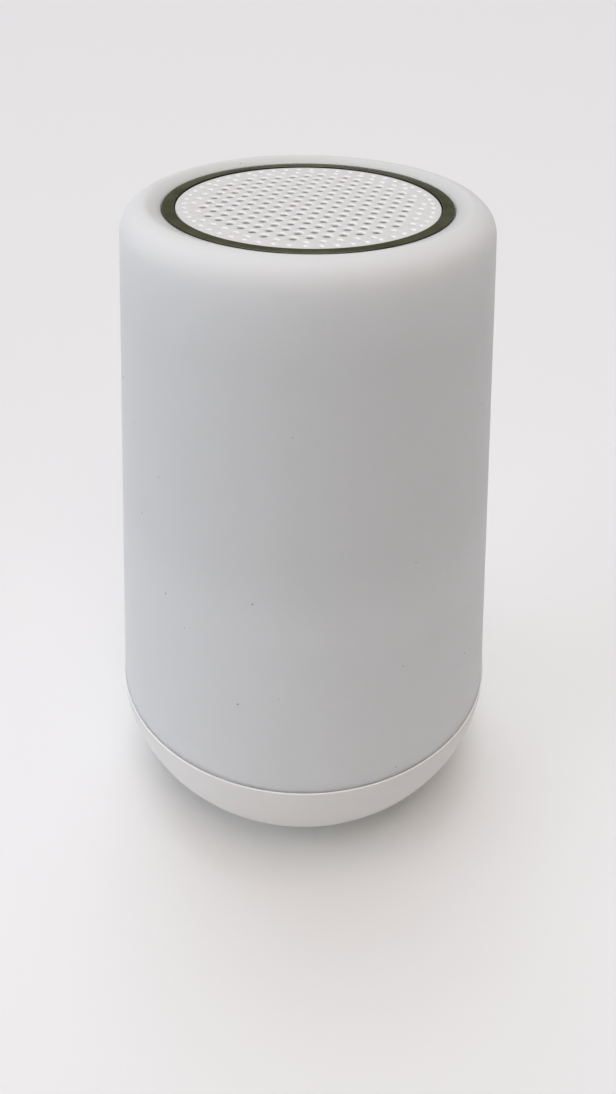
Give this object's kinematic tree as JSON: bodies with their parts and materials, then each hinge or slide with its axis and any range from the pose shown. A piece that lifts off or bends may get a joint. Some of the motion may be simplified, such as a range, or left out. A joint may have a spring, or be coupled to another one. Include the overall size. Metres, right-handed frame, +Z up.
{
  "type": "smart speaker",
  "caption": "Free-standing wireless speaker with a tapered translucent lamp body, a touch ring round a perforated top grille, and a bowl-shaped base.",
  "frame": {"origin": "centre of the footprint on the surface that the feet stand on", "axes": "+Z up, front towards -Y, buttons and sockets at the back, +Y"},
  "size_m": [0.1218, 0.1218, 0.19],
  "materials": {
    "diffuser": "satin milky translucent moulding",
    "base_plastic": "smooth semi-gloss moulding",
    "grille_plastic": "satin moulding with bright hole walls",
    "ring_metal": "glossy dark gunmetal plating",
    "foot_rubber": "soft matt rubber",
    "screw_steel": "zinc-plated steel",
    "white_plastic": "plain matt moulding",
    "lamp_board": "white solder mask",
    "lamp": "clear resin over yellow phosphor",
    "foam": "closed-cell foam",
    "ferrite": "ground ferrite",
    "cone_paper": "treated paper pulp",
    "coil_copper": "lacquered copper wire",
    "spider_cloth": "resin-dipped woven cloth",
    "circuit_board": "green solder mask",
    "shield_can": "tinned steel can",
    "black_plastic": "matt black moulding",
    "cell_sleeve": "shrink sleeve",
    "panel_plastic": "fine spark texture",
    "key_plastic": "satin moulding",
    "port_steel": "drawn stainless steel",
    "lens": "milky light pipe",
    "lead_sleeve": "soft wire insulation"
  },
  "bodies": {
    "housing": {"amplifier_chip": "black_plastic", "aux_jack": "black_plastic", "base_shell": "base_plastic", "battery_cell": "cell_sleeve", "battery_cradle": "panel_plastic", "battery_lead": "lead_sleeve", "bluetooth_module": "shield_can", "bottom_cover": "base_plastic", "bottom_screw_1": "screw_steel", "bottom_screw_2": "screw_steel", "bottom_screw_3": "screw_steel", "bottom_screw_4": "screw_steel", "chassis_deck": "white_plastic", "column_screw_1": "screw_steel", "column_screw_2": "screw_steel", "column_screw_3": "screw_steel", "diffuser_shell": "diffuser", "driver_basket": "screw_steel", "driver_gasket": "foam", "driver_magnet": "ferrite", "driver_screw_1": "screw_steel", "driver_screw_2": "screw_steel", "driver_screw_3": "screw_steel", "driver_screw_4": "screw_steel", "foot_1": "foot_rubber", "foot_2": "foot_rubber", "foot_3": "foot_rubber", "foot_4": "foot_rubber", "io_board": "circuit_board", "lamp_lead": "lead_sleeve", "lead_connector": "white_plastic", "led_1": "lamp", "led_2": "lamp", "led_3": "lamp", "led_4": "lamp", "led_5": "lamp", "led_6": "lamp", "led_board": "lamp_board", "light_column": "white_plastic", "magnet_top_plate": "screw_steel", "magnet_yoke": "screw_steel", "main_board": "circuit_board", "rear_panel": "panel_plastic", "speaker_grille": "grille_plastic", "speaker_lead": "lead_sleeve", "speaker_pod": "white_plastic", "spider": "spider_cloth", "status_lens": "lens", "surround": "foot_rubber", "touch_ring": "ring_metal", "usb_c_port": "port_steel"},
    "light_button": {"light_button": "key_plastic"},
    "volume_up_button": {"volume_up_button": "key_plastic"},
    "play_button": {"play_button": "key_plastic"},
    "volume_down_button": {"volume_down_button": "key_plastic"},
    "power_switch": {"power_switch": "black_plastic"},
    "driver_cone": {"speaker_cone": "cone_paper", "dust_cap": "cone_paper", "voice_coil": "coil_copper"}
  },
  "joints": [
    {"name": "light_press", "type": "slide", "parent": "housing", "child": "light_button", "axis": [0, -0.9563, 0.2924], "range_m": [0, 0.0006], "stiffness_N_per_m": 1500},
    {"name": "volume_up_press", "type": "slide", "parent": "housing", "child": "volume_up_button", "axis": [0, -0.9563, 0.2924], "range_m": [0, 0.0006], "stiffness_N_per_m": 1500},
    {"name": "play_press", "type": "slide", "parent": "housing", "child": "play_button", "axis": [0, -0.9563, 0.2924], "range_m": [0, 0.0006], "stiffness_N_per_m": 1500},
    {"name": "volume_down_press", "type": "slide", "parent": "housing", "child": "volume_down_button", "axis": [0, -0.9563, 0.2924], "range_m": [0, 0.0006], "stiffness_N_per_m": 1500},
    {"name": "power_slide", "type": "slide", "parent": "housing", "child": "power_switch", "axis": [1, 0, 0], "range_m": [0, 0.003]},
    {"name": "cone_travel", "type": "slide", "parent": "housing", "child": "driver_cone", "axis": [0, 0, 1], "range_m": [-0.0015, 0.0015], "stiffness_N_per_m": 1250, "deforming": ["surround", "spider"]}
  ]
}
